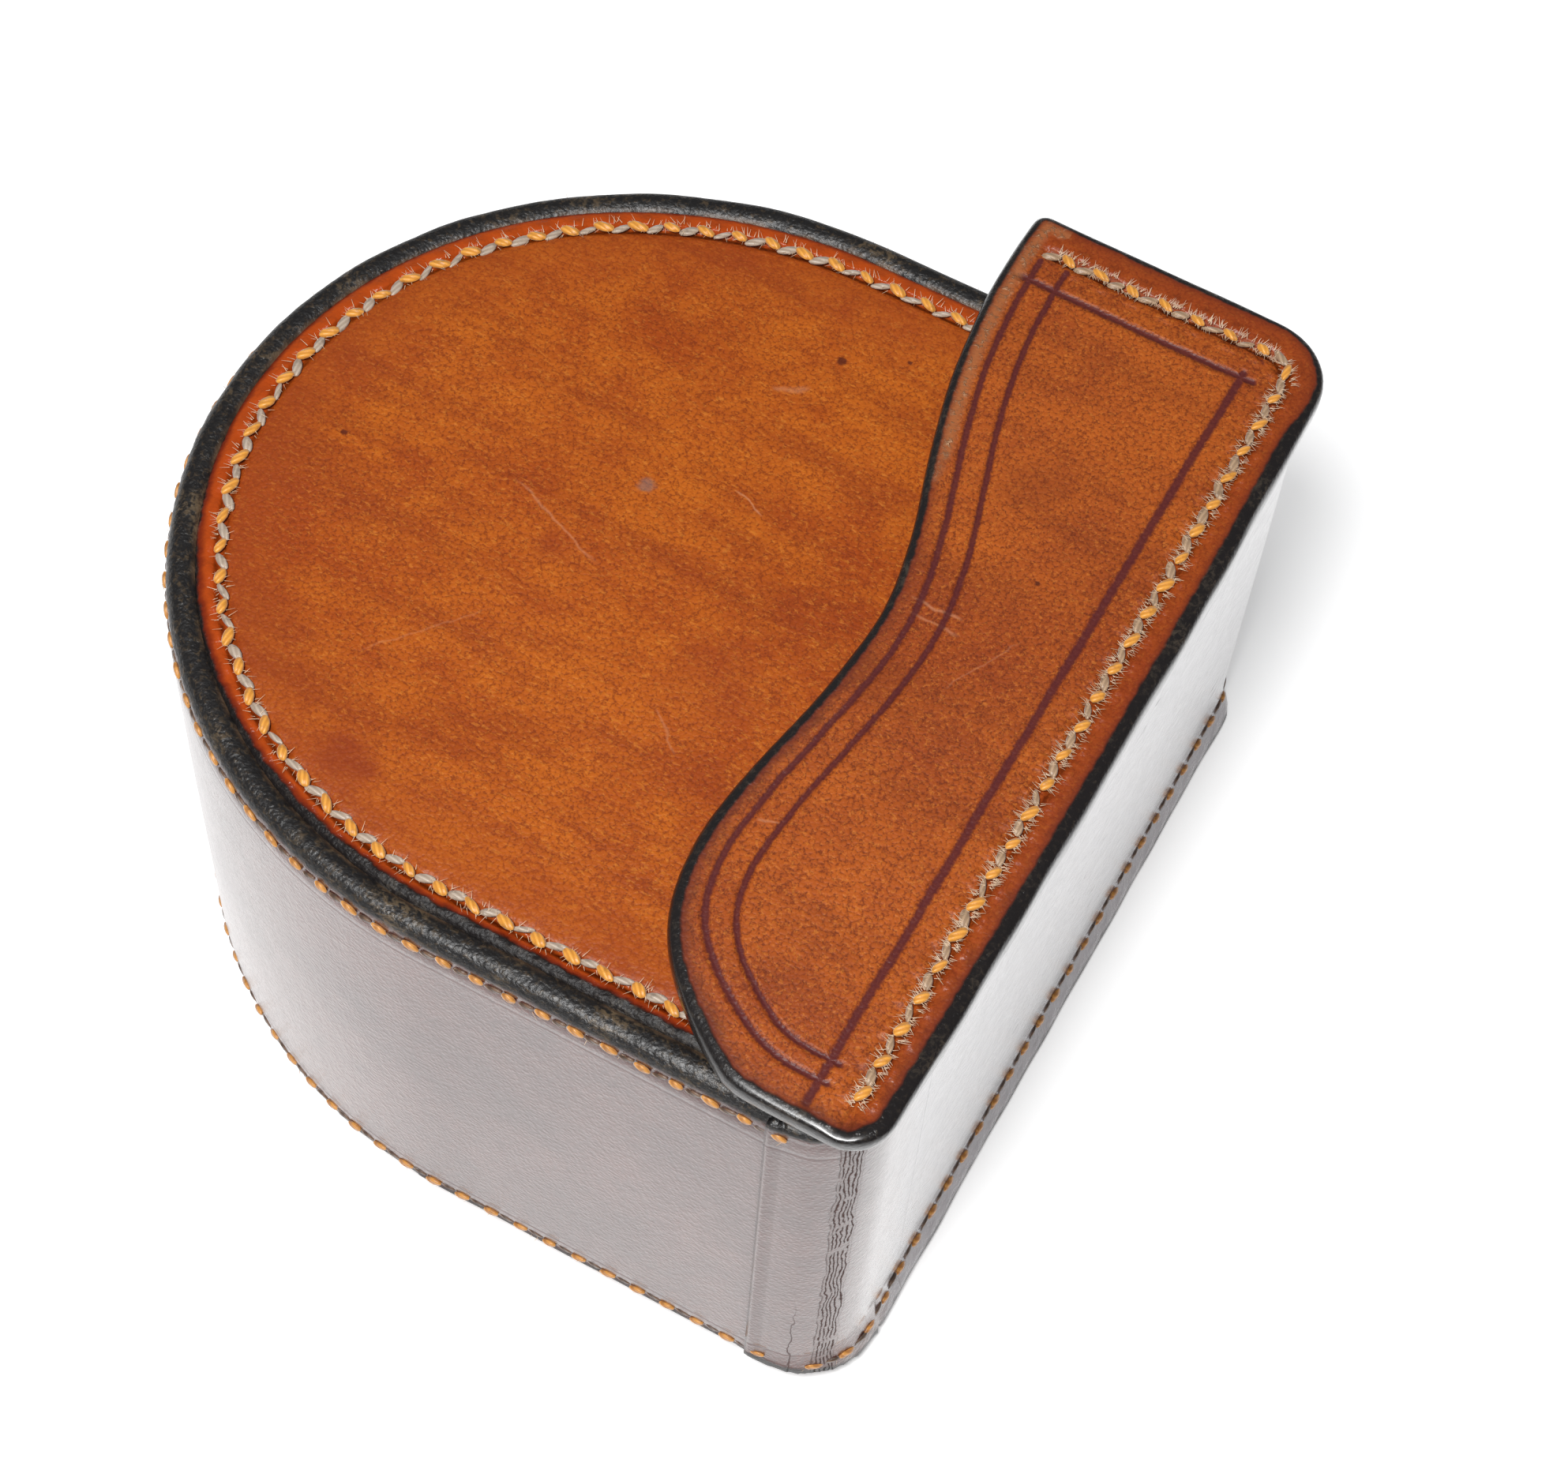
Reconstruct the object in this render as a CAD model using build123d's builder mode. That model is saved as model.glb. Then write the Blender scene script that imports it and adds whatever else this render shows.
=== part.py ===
from build123d import *
from math import pi

import os

# A D-shaped cup of hard saddle leather that lies on one of its two flat faces, with a hinged
# leather cap over its straight mouth. Millimetres, +Z up. The origin is at the centre of the
# base: the round end of the cup points to -X, the capped mouth to +X, the hinge is on the -Y side.

os.makedirs("parts", exist_ok=True)

# The cup
cup_length = 94.6        # mouth to the outside of the round end
cup_width = 100.0        # over the two straight sides
cup_height = 63.1        # over the two D-shaped faces
round_depth = 53.3       # how far the round end bulges past the straight sides
strip_t = 3.4            # the long strip that makes wall, hinge and cap wall
face_t = 3.2             # the two D-shaped faces
lining_t = 1.0           # suede lining of the cup
bead_drop = 0.8          # the wall's rounded edge stands this much lower than the face
bead_r = 1.4             # rounding of the wall's outer edges
face_bevel = 0.8         # bevel around the D faces

# The cap
cheek_t = 3.2            # the two shaped cheeks of the cap
cheek_gap = 0.4          # clearance between a cheek and the cup's face
liner_t = 3.4            # strip that doubles the cap's wall
liner_gap = 0.5          # clearance between that strip and the cup's far side
mouth_gap = 1.0          # clearance between that strip and the mouth
overhang = 2.1           # how far a cheek stands out past the cap's wall
edge_bow = 0.9           # how far the cheek's long edge bows out
flare_depth = 38.0       # cheek from its long edge to the wavy edge, at the far end
waist_depth = 29.1       # the same at the waist
lobe_depth = 32.2        # the same at the rounded lobe by the hinge
slope_bulge = 1.2        # fullness of the wavy edge between its far end and the waist
shoulder = 0.88          # depth where the lobe turns towards the hinge, as a share of the lobe's
heel = 0.58              # the same a little nearer the hinge
foot = 0.33              # and where the wavy edge meets the hinge side
tip_slant = -0.08        # lean of the wavy edge where it starts at the far corner
flare_place = 0.881      # end of the edge's straight far stretch, from the hinge as a share of width
slope_place = 0.71       # the place of that fullness
waist_place = 0.512      # the waist
lobe_place = 0.247       # the widest place of the lobe
shoulder_place = 0.086   # the lobe's shoulder
heel_place = 0.012       # the lobe's heel
return_length = 33.0     # cap wall's return along the cup's far side
far_corner_r = 8.0       # cheek's rounded corner far from the hinge
near_corner_r = 5.0      # cheek's rounded corner over the hinge
tip_r = 1.6              # small corner where the wavy edge starts
smallest_r = 0.5         # tightest inside corner of the cap's strips
cheek_round = 1.1        # rounding around a cheek's edges
lower_edge_in = 1.1      # the lower cheek is trimmed closer to the cap's wall than the upper one
lower_near_in = 2.4      # and stops short of the hinge side

# The hinge
hinge_radius = 9.0       # outside of the strip where it turns the corner
hinge_lead = 0.3         # straight hinge leather before the corner
hinge_tail = 2.0         # straight hinge leather after the corner

# The seams
thread_w = 1.2           # width of a sunk row of stitches
thread_depth = 0.5       # depth of its groove
face_seam_inset = 6.0    # row on a D face, from the cup's side
cheek_seam_inset = 4.9   # row on a cheek, from its edge
wall_seam_drop = 2.8     # row on a wall, from the face beside it
seam_end = 3.0           # a row stops this far from the edge of its leather
near = 0.01              # places closer than this are the same

# Places that follow from the sizes
length = cup_length + mouth_gap + liner_t + strip_t + overhang
width = cup_width + liner_gap + liner_t + strip_t + overhang
height = cup_height + 2 * (cheek_t + cheek_gap)
cup_floor = cheek_t + cheek_gap
cup_top = cup_floor + cup_height
edge_x = length / 2
wall_x = edge_x - overhang
mouth_x = wall_x - strip_t - liner_t - mouth_gap
near_y = -width / 2
side_y = near_y + cup_width
centre_y = near_y + cup_width / 2
round_x = mouth_x - cup_length + round_depth
edge_y = width / 2
wall_y = edge_y - overhang
corner_x = wall_x - hinge_radius
corner_y = near_y + hinge_radius
crease_x = corner_x - hinge_lead
cap_start_y = corner_y + hinge_tail
return_x = wall_x - return_length


def cup_outline(inset, mode=Mode.ADD):
    """The D drawn in all round by the inset, but always as long as the mouth."""
    half = cup_width / 2 - inset
    with BuildLine() as outline:
        EllipticalCenterArc(
            (round_x, centre_y), round_depth - inset, half, start_angle=90, arc_size=180
        )
        Polyline(
            (round_x, centre_y - half),
            (mouth_x, centre_y - half),
            (mouth_x, centre_y + half),
            (round_x, centre_y + half),
        )
    make_face(outline.edges(), mode=mode)


def trim_near_side(end_x):
    """Takes the near side of the cup away from end_x to the mouth, where the hinge leather is."""
    with Locations((end_x, near_y)):
        Rectangle(
            cup_length, cup_width / 2, align=(Align.MIN, Align.CENTER), mode=Mode.SUBTRACT
        )


def trim_mouth(end_x):
    """Takes everything past end_x away."""
    with Locations((end_x, centre_y)):
        Rectangle(cup_length, 2 * cup_width, align=(Align.MIN, Align.CENTER), mode=Mode.SUBTRACT)


def cup_band(outer_inset, inner_inset, near_end, far_end):
    """A U-shaped band between two insets of the D, cut short on the near and the far side."""
    cup_outline(outer_inset)
    cup_outline(inner_inset, mode=Mode.SUBTRACT)
    trim_near_side(near_end)
    trim_mouth(far_end)


def cap_corner(inset, start_y, end_x, mode=Mode.ADD):
    """A plate inside the cap, with the cap's far corner drawn in by the inset."""
    radius = max(far_corner_r - overhang - inset, smallest_r)
    with BuildLine() as outline:
        FilletPolyline(
            (wall_x - inset, start_y),
            (wall_x - inset, wall_y - inset),
            (end_x, wall_y - inset),
            radius=radius,
        )
        Polyline((end_x, wall_y - inset), (end_x, start_y), (wall_x - inset, start_y))
    make_face(outline.edges(), mode=mode)


def cap_band(outer_inset, inner_inset, start_y, end_x):
    """An L-shaped band along the cap's long side and its far return."""
    cap_corner(outer_inset, start_y, end_x)
    cap_corner(inner_inset, start_y, end_x, mode=Mode.SUBTRACT)


def cheek_outline(edge_in, near_in):
    """The shaped cheek: a bowed long edge, a straight far edge and a wavy inner edge."""
    long_x = edge_x - edge_bow - edge_in
    far_y = edge_y - edge_in
    low_y = near_y + near_in
    slope_depth = (flare_depth + waist_depth) / 2 + slope_bulge
    wave_start = (edge_x - flare_depth, far_y)
    wave_end = (edge_x - lobe_depth * foot, low_y)
    with BuildLine() as outline:
        ThreePointArc((long_x, low_y), (long_x + edge_bow, 0), (long_x, far_y))
        Line((long_x, far_y), wave_start)
        Spline(
            wave_start,
            (edge_x - flare_depth, near_y + width * flare_place),
            (edge_x - slope_depth, near_y + width * slope_place),
            (edge_x - waist_depth, near_y + width * waist_place),
            (edge_x - lobe_depth, near_y + width * lobe_place),
            (edge_x - lobe_depth * shoulder, low_y + width * shoulder_place),
            (edge_x - lobe_depth * heel, low_y + width * heel_place),
            wave_end,
            tangents=((tip_slant, -1), (1, 0)),
        )
        Line(wave_end, (long_x, low_y))
    make_face(outline.edges())


def finish(piece, label):
    piece.part.label = label
    export_step(piece.part, f"parts/{label}.step")
    print(label, round(piece.part.volume), len(piece.part.solids()))


def edges_at(piece, z):
    """The edges of a piece that lie flat at height z."""
    return piece.edges().filter_by(lambda edge: abs((edge @ 0).Z - z) + abs((edge @ 0.5).Z - z) < near)


def hinge_corner(piece):
    """The upright edges of a D-shaped sheet at the corner of the mouth by the hinge."""
    uprights = piece.edges().filter_by(Axis.Z)
    return uprights.filter_by(lambda edge: (edge @ 0).X > mouth_x - near and (edge @ 0).Y < centre_y)


def on_cup_side(edge):
    """True where an edge runs along the outside of the D."""
    place = edge @ 0.5
    along_side = abs(abs(place.Y - centre_y) - cup_width / 2) < near
    round_end = abs(place.X - (round_x - round_depth)) < near
    return along_side or round_end


# Wall of the cup: one strip from the crease by the hinge, round the D, to the far end of the mouth.
# Its cut edges are rounded over, and the two seam rows lie in grooves along them.
wall_low = cup_floor + bead_drop
wall_high = cup_top - bead_drop
row_low = cup_floor + wall_seam_drop - thread_w / 2
row_high = cup_top - wall_seam_drop - thread_w / 2
near_row_end = crease_x - seam_end / 2
far_row_end = mouth_x - seam_end
with BuildPart() as body_wall:
    with BuildSketch(Plane.XY.offset(wall_low)):
        cup_band(0, strip_t, crease_x, mouth_x)
    extrude(amount=wall_high - wall_low)
    rims = edges_at(body_wall, wall_low) + edges_at(body_wall, wall_high)
    fillet(rims.filter_by(on_cup_side), bead_r)
    for row in (row_low, row_high):
        with BuildSketch(Plane.XY.offset(row)):
            cup_band(0, thread_depth, near_row_end, far_row_end)
        extrude(amount=thread_w, mode=Mode.SUBTRACT)
finish(body_wall, "body_wall")

# The two D faces sit inside the strip, with a bevelled edge beside its bead. Each has a seam row
# in a groove. The mouth corner by the hinge is rounded to leave room for the strip's turn.
faces = {
    "body_top_face": (cup_top - face_t, cup_top, cup_top - thread_depth),
    "body_bottom_face": (cup_floor, cup_floor, cup_floor),
}
for name, (low, skin, groove) in faces.items():
    with BuildPart() as face:
        with BuildSketch(Plane.XY.offset(low)):
            cup_outline(strip_t)
        extrude(amount=face_t)
        fillet(hinge_corner(face), hinge_radius - strip_t)
        chamfer(edges_at(face, skin).filter_by(lambda edge: (edge @ 0.5).X < mouth_x - near), face_bevel)
        with BuildSketch(Plane.XY.offset(groove)):
            cup_band(
                face_seam_inset - thread_w / 2, face_seam_inset + thread_w / 2, near_row_end, far_row_end
            )
        extrude(amount=thread_depth, mode=Mode.SUBTRACT)
    finish(face, name)

# Suede lining: a sheet on each D face and a strip along the wall between them.
for name, low in {
    "body_top_lining": cup_top - face_t - lining_t,
    "body_bottom_lining": cup_floor + face_t,
}.items():
    with BuildPart() as sheet:
        with BuildSketch(Plane.XY.offset(low)):
            cup_outline(strip_t)
        extrude(amount=lining_t)
        fillet(hinge_corner(sheet), hinge_radius - strip_t)
    finish(sheet, name)

with BuildPart() as body_wall_lining:
    with BuildSketch(Plane.XY.offset(cup_floor + face_t + lining_t)):
        cup_band(strip_t, strip_t + lining_t, crease_x, mouth_x)
    extrude(amount=cup_height - 2 * (face_t + lining_t))
finish(body_wall_lining, "body_wall_lining")

# Waxed thread of the cup's two box seams: a row on the D face and a row on the wall beside it.
for name, groove, row in (
    ("body_top_stitching", cup_top - thread_depth, row_high),
    ("body_bottom_stitching", cup_floor, row_low),
):
    with BuildPart() as stitching:
        with BuildSketch(Plane.XY.offset(groove)):
            cup_band(
                face_seam_inset - thread_w / 2, face_seam_inset + thread_w / 2, near_row_end, far_row_end
            )
        extrude(amount=thread_depth)
        with BuildSketch(Plane.XY.offset(row)):
            cup_band(0, thread_depth, near_row_end, far_row_end)
        extrude(amount=thread_w)
    finish(stitching, name)

# The living hinge: the same strip where it turns the corner between cup and cap. It bends about
# an upright line, and no thread holds it to the faces or to the cheeks.
with BuildPart() as hinge_leather:
    with BuildSketch(Plane.XY.offset(wall_low)):
        with BuildLine():
            Line((crease_x, near_y), (corner_x, near_y))
            RadiusArc((corner_x, near_y), (wall_x, corner_y), -hinge_radius)
            Polyline(
                (wall_x, corner_y),
                (wall_x, cap_start_y),
                (wall_x - strip_t, cap_start_y),
                (wall_x - strip_t, corner_y),
            )
            RadiusArc(
                (wall_x - strip_t, corner_y), (corner_x, near_y + strip_t), hinge_radius - strip_t
            )
            Polyline((corner_x, near_y + strip_t), (crease_x, near_y + strip_t), (crease_x, near_y))
        make_face()
    extrude(amount=wall_high - wall_low)
finish(hinge_leather, "hinge_leather")

# Wall of the cap: the strip's last stretch, along the mouth and back along the cup's far side.
cap_low = cheek_t
cap_high = height - cheek_t
cap_rows = (cap_low + wall_seam_drop - thread_w / 2, cap_high - wall_seam_drop - thread_w / 2)
cap_row_start = cap_start_y + seam_end
cap_row_end = return_x + seam_end
with BuildPart() as lid_wall:
    with BuildSketch(Plane.XY.offset(cap_low)):
        cap_band(0, strip_t, cap_start_y, return_x)
    extrude(amount=cap_high - cap_low)
    for row in cap_rows:
        with BuildSketch(Plane.XY.offset(row)):
            cap_band(0, thread_depth, cap_row_start, cap_row_end)
        extrude(amount=thread_w, mode=Mode.SUBTRACT)
finish(lid_wall, "lid_wall")

# The strip glued inside the cap's wall. It takes up the room outside the cup, so the cap grips.
with BuildPart() as lid_liner:
    with BuildSketch(Plane.XY.offset(cap_low)):
        cap_band(strip_t, strip_t + liner_t, cap_start_y, return_x)
    extrude(amount=cap_high - cap_low)
finish(lid_liner, "lid_liner")

# The two shaped cheeks of the cap, above and below the cup, with their seam rows.
cheek_row = (
    cheek_seam_inset - overhang - thread_w / 2,
    cheek_seam_inset - overhang + thread_w / 2,
    near_y + cheek_seam_inset,
    edge_x - flare_depth + seam_end,
)
for name, low, groove, edge_in, near_in in (
    ("lid_top_cheek", height - cheek_t, height - thread_depth, 0, 0),
    ("lid_bottom_cheek", 0, 0, lower_edge_in, lower_near_in),
):
    with BuildPart() as cheek:
        with BuildSketch(Plane.XY.offset(low)):
            cheek_outline(edge_in, near_in)
        extrude(amount=cheek_t)
        uprights = cheek.edges().filter_by(Axis.Z)
        fillet(uprights.group_by(Axis.Y)[-1].sort_by(Axis.X)[-1], far_corner_r)
        uprights = cheek.edges().filter_by(Axis.Z)
        fillet(uprights.group_by(Axis.Y)[-1].sort_by(Axis.X)[0], tip_r)
        uprights = cheek.edges().filter_by(Axis.Z)
        fillet(uprights.group_by(Axis.Y)[0].sort_by(Axis.X)[-1], near_corner_r)
        fillet(edges_at(cheek, low) + edges_at(cheek, low + cheek_t), cheek_round)
        with BuildSketch(Plane.XY.offset(groove)):
            cap_band(*cheek_row)
        extrude(amount=thread_depth, mode=Mode.SUBTRACT)
    finish(cheek, name)

# Waxed thread of the cap's two seams.
for name, groove, row in (
    ("lid_top_stitching", height - thread_depth, cap_rows[1]),
    ("lid_bottom_stitching", 0, cap_rows[0]),
):
    with BuildPart() as stitching:
        with BuildSketch(Plane.XY.offset(groove)):
            cap_band(*cheek_row)
        extrude(amount=thread_depth)
        with BuildSketch(Plane.XY.offset(row)):
            cap_band(0, thread_depth, cap_row_start, cap_row_end)
        extrude(amount=thread_w)
    finish(stitching, name)

# The hinge line: with its pivot here, the strip keeps its length as it straightens.
bend = (hinge_radius - strip_t / 2) * pi / 4
print("overall", round(length, 2), round(width, 2), round(height, 2))
print("hinge axis", round(corner_x + bend, 3), round(corner_y - bend, 3))
print("mouth", round(mouth_x, 3), "near", round(near_y, 3), "side", round(side_y, 3))
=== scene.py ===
import bpy
import bmesh
import math
import random
import numpy as np
from mathutils import Matrix, Vector, kdtree


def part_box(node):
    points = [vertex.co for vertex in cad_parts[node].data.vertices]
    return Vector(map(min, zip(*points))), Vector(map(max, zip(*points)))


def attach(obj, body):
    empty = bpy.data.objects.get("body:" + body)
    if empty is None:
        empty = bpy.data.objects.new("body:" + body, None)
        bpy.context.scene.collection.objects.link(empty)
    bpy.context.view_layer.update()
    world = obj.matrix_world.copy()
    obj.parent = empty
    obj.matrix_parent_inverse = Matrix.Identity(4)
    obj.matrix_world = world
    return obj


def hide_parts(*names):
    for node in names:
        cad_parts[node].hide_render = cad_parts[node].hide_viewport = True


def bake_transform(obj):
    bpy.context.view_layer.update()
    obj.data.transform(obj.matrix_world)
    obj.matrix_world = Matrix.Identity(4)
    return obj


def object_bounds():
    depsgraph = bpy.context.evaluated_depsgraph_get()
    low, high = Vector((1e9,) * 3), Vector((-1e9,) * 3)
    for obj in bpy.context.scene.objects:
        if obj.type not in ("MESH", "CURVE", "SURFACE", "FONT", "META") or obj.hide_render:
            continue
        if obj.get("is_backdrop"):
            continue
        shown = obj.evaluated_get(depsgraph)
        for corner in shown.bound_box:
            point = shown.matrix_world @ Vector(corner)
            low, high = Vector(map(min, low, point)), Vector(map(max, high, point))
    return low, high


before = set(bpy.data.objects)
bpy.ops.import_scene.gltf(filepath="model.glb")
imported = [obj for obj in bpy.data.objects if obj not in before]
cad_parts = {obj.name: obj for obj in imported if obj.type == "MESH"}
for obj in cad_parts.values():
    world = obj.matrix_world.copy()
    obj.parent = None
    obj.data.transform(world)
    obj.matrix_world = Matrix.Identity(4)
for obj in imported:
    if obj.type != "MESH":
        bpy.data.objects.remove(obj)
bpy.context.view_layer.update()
scene = bpy.context.scene
mm = 0.001


# ---------------------------------------------------------------------------------------------
# The two D-shaped faces of the cup. Each is cut from tan saddle leather, dropped inside the wall
# strip and box-stitched to it. Its edge is bevelled, sanded and burnished black.
# ---------------------------------------------------------------------------------------------
wall_low, wall_high = [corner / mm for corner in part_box("body_wall")]
crease_x = wall_high.x                 # where the wall strip folds into the hinge
mouth_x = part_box("body_top_face")[1].x / mm
round_depth = 53.3                     # bulge of the round end, in mm like every size below
half_width = (wall_high.y - wall_low.y) / 2
round_x = wall_low.x + round_depth
centre_y = (wall_low.y + wall_high.y) / 2
seam_inset = 6.0
stitch_pitch = 3.75
straight_steps, arc_steps = 60, 400    # places along the straight sides and round the end


def running_length(x, y):
    return np.concatenate([[0], np.cumsum(np.hypot(np.diff(x), np.diff(y)))])


def cup_path(inset):
    """Points along the D at an inset, from the hinge crease round to the far end of the mouth,
    with the running length at each."""
    near_x = np.linspace(crease_x, round_x, straight_steps)[:-1]
    turn = np.linspace(0, math.pi, arc_steps)
    far_x = np.linspace(round_x, mouth_x, straight_steps)[1:]
    half = half_width - inset
    x = np.concatenate([near_x, round_x - (round_depth - inset) * np.sin(turn), far_x])
    y = np.concatenate([near_x * 0 - half, -half * np.cos(turn), far_x * 0 + half]) + centre_y
    return x, y, running_length(x, y)


seam_x, seam_y, seam_run = cup_path(seam_inset)


def cup_measures(x, y):
    """How far inside the cup's outline a point is, and how far round the seam it lies."""
    low, high = np.full(len(x), -12.0), np.full(len(x), 46.0)
    for step in range(30):
        middle = (low + high) / 2
        outside = ((x - round_x) / (round_depth - middle)) ** 2
        outside = outside + ((y - centre_y) / (half_width - middle)) ** 2 > 1
        low, high = np.where(outside, low, middle), np.where(outside, middle, high)
    straight = half_width - np.abs(y - centre_y)
    inset = np.where(x > round_x, straight, low)
    turn = np.arctan2((round_x - x) * half_width, -(y - centre_y) * round_depth) % (2 * math.pi)
    arc_start, arc_end = straight_steps - 1, straight_steps + arc_steps - 2
    arc_run = np.interp(turn, np.linspace(0, math.pi, arc_steps), seam_run[arc_start:arc_end + 1])
    near = crease_x - x
    far = seam_run[arc_end] + (x - round_x)
    along = np.where(x > round_x, np.where(y < centre_y, near, far), arc_run)
    return inset, along


def leather(name, nodes, voxel, smooth=2):
    """A dense copy of CAD nodes that can be worked like leather."""
    mesh = bpy.data.meshes.new(name)
    shape = bmesh.new()
    for node in nodes:
        shape.from_mesh(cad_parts[node].data)
    bmesh.ops.remove_doubles(shape, verts=shape.verts, dist=0.02 * mm)
    shape.to_mesh(mesh)
    shape.free()
    piece = bpy.data.objects.new(name, mesh)
    scene.collection.objects.link(piece)
    remesh = piece.modifiers.new("even", "REMESH")
    remesh.mode = "VOXEL"
    remesh.voxel_size = voxel * mm
    bpy.context.view_layer.update()
    even = bpy.data.meshes.new_from_object(piece.evaluated_get(bpy.context.evaluated_depsgraph_get()))
    piece.modifiers.clear()
    shape = bmesh.new()
    shape.from_mesh(even)
    for turn in range(smooth):
        bmesh.ops.smooth_vert(
            shape, verts=shape.verts, factor=0.5, use_axis_x=True, use_axis_y=True, use_axis_z=True
        )
    shape.to_mesh(even)
    shape.free()
    even.polygons.foreach_set("use_smooth", [True] * len(even.polygons))
    piece.data = even
    even.name = name
    return piece


def places(piece):
    """Vertex places and normals of a piece, in mm."""
    count = len(piece.data.vertices)
    place, normal = np.empty(count * 3, np.float32), np.empty(count * 3, np.float32)
    piece.data.vertices.foreach_get("co", place)
    piece.data.vertex_normals.foreach_get("vector", normal)
    return place.reshape(-1, 3).astype(float) / mm, normal.reshape(-1, 3).astype(float)


def move(piece, place):
    piece.data.vertices.foreach_set("co", (place * mm).astype(np.float32).ravel())
    piece.data.update()


def mark(piece, **values):
    """Keeps a measure on every vertex, for the finish to read."""
    for name, value in values.items():
        layer = piece.data.attributes.new(name, "FLOAT", "POINT")
        layer.data.foreach_set("value", np.asarray(value, np.float32))


def waves(place, size, seed):
    """Soft unevenness between about -1 and 1 with bumps of about this size."""
    chance = random.Random(seed)
    total = np.zeros(len(place))
    for swell in range(9):
        way = np.array([chance.gauss(0, 1) for part in range(3)])
        way *= 2 * math.pi / (size * 2 * chance.uniform(0.8, 1.6) * np.linalg.norm(way))
        total += np.sin(place @ way + chance.uniform(0, 6.3))
    return total / 4.2


def add(tree, kind, *inputs, **settings):
    """A node with its inputs in order and its settings by name."""
    made = tree.nodes.new(kind)
    for setting, value in settings.items():
        setattr(made, setting, value)
    for socket, value in zip(made.inputs, inputs):
        if isinstance(value, bpy.types.NodeSocket):
            tree.links.new(value, socket)
        elif value is not None:
            socket.default_value = value
    return made


def sum_of(tree, operation, *inputs):
    return add(tree, "ShaderNodeMath", *inputs, operation=operation).outputs[0]


def times(tree, first, second):
    return sum_of(tree, "MULTIPLY", first, second)


def most(tree, first, second):
    return sum_of(tree, "MAXIMUM", first, second)


def layered(tree, value, amount, base):
    """A base with an amount of another value added to it."""
    return sum_of(tree, "MULTIPLY_ADD", value, amount, base)


def built_up(tree, base, *layers):
    """A base relief with layers on it, each given as a value and its depth."""
    for value, depth in layers:
        base = layered(tree, value, depth, base)
    return base


def between(tree, value, start, end, low=0.0, high=1.0):
    """Runs smoothly from low to high while a value goes from start to end."""
    made = add(tree, "ShaderNodeMapRange", value, start, end, low, high, interpolation_type="SMOOTHSTEP")
    return made.outputs[0]


def bump_line(tree, value, middle, width):
    """1 on a line where the value is at its middle, 0 a width away."""
    off = sum_of(tree, "ABSOLUTE", sum_of(tree, "SUBTRACT", value, middle))
    return between(tree, off, 0.0, width, 1.0, 0.0)


def mix(tree, share, first, second):
    made = tree.nodes.new("ShaderNodeMix")
    made.data_type = "RGBA"
    made.clamp_factor = True
    for socket, value in ((made.inputs[0], share), (made.inputs[6], first), (made.inputs[7], second)):
        if isinstance(value, bpy.types.NodeSocket):
            tree.links.new(value, socket)
        elif socket is made.inputs[0]:
            socket.default_value = value
        else:
            socket.default_value = (*value, 1)
    return made.outputs[2]


def cloud(tree, place, scale, detail=2.0, rough=0.5, distort=0.0):
    made = add(tree, "ShaderNodeTexNoise")
    tree.links.new(place, made.inputs["Vector"])
    made.inputs["Scale"].default_value = scale
    made.inputs["Detail"].default_value = detail
    made.inputs["Roughness"].default_value = rough
    made.inputs["Distortion"].default_value = distort
    return made.outputs["Fac"]


def stretched(tree, place, angle, size):
    """Places turned about the upright axis and stretched, for streaks."""
    return add(tree, "ShaderNodeMapping", place, None, (0, 0, angle), size).outputs[0]


def measure(tree, name):
    return add(tree, "ShaderNodeAttribute", attribute_name=name).outputs["Fac"]


def effect(name, wanted):
    """A shared group that reads a place and gives plain numbers."""
    tree = bpy.data.node_groups.new(name, "ShaderNodeTree")
    tree.interface.new_socket("Place", in_out="INPUT", socket_type="NodeSocketVector")
    for label in wanted:
        tree.interface.new_socket(label, in_out="OUTPUT", socket_type="NodeSocketFloat")
    start = tree.nodes.new("NodeGroupInput").outputs[0]
    end = tree.nodes.new("NodeGroupOutput")
    return tree, start, end


# Grain of vegetable-tanned cowhide: fine pebbles, pores and faint long wrinkles, in mm of relief.
grain_tree, place, result = effect("cowhide grain", ("Relief", "Pores", "Clouds", "Streaks"))
warp = add(grain_tree, "ShaderNodeTexNoise")
grain_tree.links.new(place, warp.inputs["Vector"])
warp.inputs["Scale"].default_value = 900
warp.inputs["Detail"].default_value = 1.5
bent = add(grain_tree, "ShaderNodeVectorMath", warp.outputs["Color"], operation="SCALE")
bent.inputs["Scale"].default_value = 0.0004
bent = add(grain_tree, "ShaderNodeVectorMath", place, bent.outputs[0], operation="ADD").outputs[0]
pebble = add(grain_tree, "ShaderNodeTexVoronoi", feature="F1")
grain_tree.links.new(bent, pebble.inputs["Vector"])
pebble.inputs["Scale"].default_value = 2000
pebbles = between(grain_tree, pebble.outputs["Distance"], 0.05, 0.75, 1.0, 0.0)
fine = cloud(grain_tree, bent, 4200, 2.0, 0.6)
broad = cloud(grain_tree, place, 700, 3.0, 0.55)
wrinkle_place = stretched(grain_tree, place, 0.9, (0.35, 1.0, 0.6))
wrinkle = cloud(grain_tree, wrinkle_place, 1500, 3.0, 0.6, 0.6)
relief = built_up(
    grain_tree, times(grain_tree, pebbles, 0.034), (fine, 0.03), (broad, 0.025), (wrinkle, 0.02))
grain_tree.links.new(relief, result.inputs[0])
deep, open_fibre = between(grain_tree, pebbles, 0.55, 0.05), between(grain_tree, fine, 0.65, 0.35)
pores = times(grain_tree, deep, open_fibre)
grain_tree.links.new(pores, result.inputs[1])
big = cloud(grain_tree, place, 38, 4.0, 0.55, 0.4)
small = cloud(grain_tree, place, 210, 3.0, 0.6)
clouds = layered(grain_tree, small, 0.45, times(grain_tree, big, 0.75))
grain_tree.links.new(between(grain_tree, clouds, 0.42, 0.78), result.inputs[2])
streak_place = stretched(grain_tree, place, 0.75, (0.16, 1.0, 1.0))
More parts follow.
